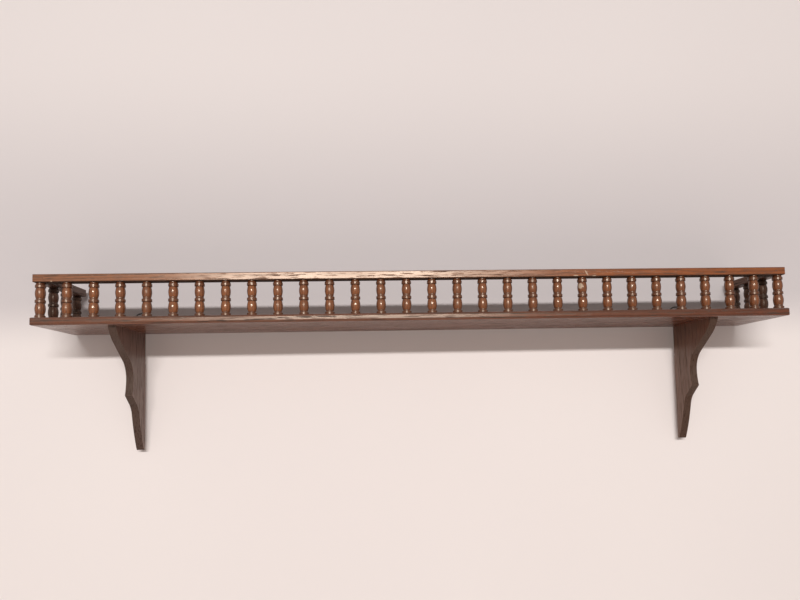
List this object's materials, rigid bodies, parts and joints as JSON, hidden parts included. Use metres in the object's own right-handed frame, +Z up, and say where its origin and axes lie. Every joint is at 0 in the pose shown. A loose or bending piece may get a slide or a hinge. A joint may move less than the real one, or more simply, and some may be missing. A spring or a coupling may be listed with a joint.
{
  "type": "wall plate rack",
  "caption": "Shallow wooden wall shelf with a rail on turned spindles round its front and ends, sawn ogee brackets below, and strap hangers with loose D rings behind.",
  "frame": {"origin": "middle of the board's back edge, on the wall plane and at half the board's thickness", "axes": "X along the wall to the viewer's right, Y into the wall so that the front faces -Y, Z up"},
  "size_m": [0.914, 0.106, 0.2149],
  "materials": {
    "board_wood": "varnished oak, reddish brown",
    "rail_wood": "varnished oak, a little more orange",
    "spindle_wood": "turned and varnished",
    "bracket_wood": "varnished, darker",
    "hanger_steel": "dark brown lacquer, worn",
    "screw_steel": "dull zinc plate"
  },
  "bodies": {
    "rack": {"shelf_board": "board_wood", "front_rail": "rail_wood", "left_rail": "rail_wood", "right_rail": "rail_wood", "rail_corner_brads": "screw_steel", "front_spindle_01": "spindle_wood", "front_spindle_02": "spindle_wood", "front_spindle_03": "spindle_wood", "front_spindle_04": "spindle_wood", "front_spindle_05": "spindle_wood", "front_spindle_06": "spindle_wood", "front_spindle_07": "spindle_wood", "front_spindle_08": "spindle_wood", "front_spindle_09": "spindle_wood", "front_spindle_10": "spindle_wood", "front_spindle_11": "spindle_wood", "front_spindle_12": "spindle_wood", "front_spindle_13": "spindle_wood", "front_spindle_14": "spindle_wood", "front_spindle_15": "spindle_wood", "front_spindle_16": "spindle_wood", "front_spindle_17": "spindle_wood", "front_spindle_18": "spindle_wood", "front_spindle_19": "spindle_wood", "front_spindle_20": "spindle_wood", "front_spindle_21": "spindle_wood", "front_spindle_22": "spindle_wood", "front_spindle_23": "spindle_wood", "front_spindle_24": "spindle_wood", "front_spindle_25": "spindle_wood", "front_spindle_26": "spindle_wood", "front_spindle_27": "spindle_wood", "front_spindle_28": "spindle_wood", "front_spindle_29": "spindle_wood", "front_spindle_30": "spindle_wood", "left_spindle_1": "spindle_wood", "left_spindle_2": "spindle_wood", "left_spindle_3": "spindle_wood", "right_spindle_1": "spindle_wood", "right_spindle_2": "spindle_wood", "right_spindle_3": "spindle_wood", "left_bracket": "bracket_wood", "right_bracket": "bracket_wood", "left_bracket_screws": "screw_steel", "right_bracket_screws": "screw_steel", "left_hanger_screws": "screw_steel", "right_hanger_screws": "screw_steel", "left_hanger_strap": "hanger_steel", "right_hanger_strap": "hanger_steel"},
    "left_ring": {"left_hanger_ring": "hanger_steel"},
    "right_ring": {"right_hanger_ring": "hanger_steel"}
  },
  "joints": [
    {"name": "left_ring_hinge", "type": "hinge", "parent": "rack", "child": "left_ring", "pos_m": [-0.366, -0.00226, 0.00731], "axis": [1, 0, 0], "range_deg": [0, 98]},
    {"name": "right_ring_hinge", "type": "hinge", "parent": "rack", "child": "right_ring", "pos_m": [0.366, -0.00226, 0.00731], "axis": [1, 0, 0], "range_deg": [0, 98]}
  ]
}
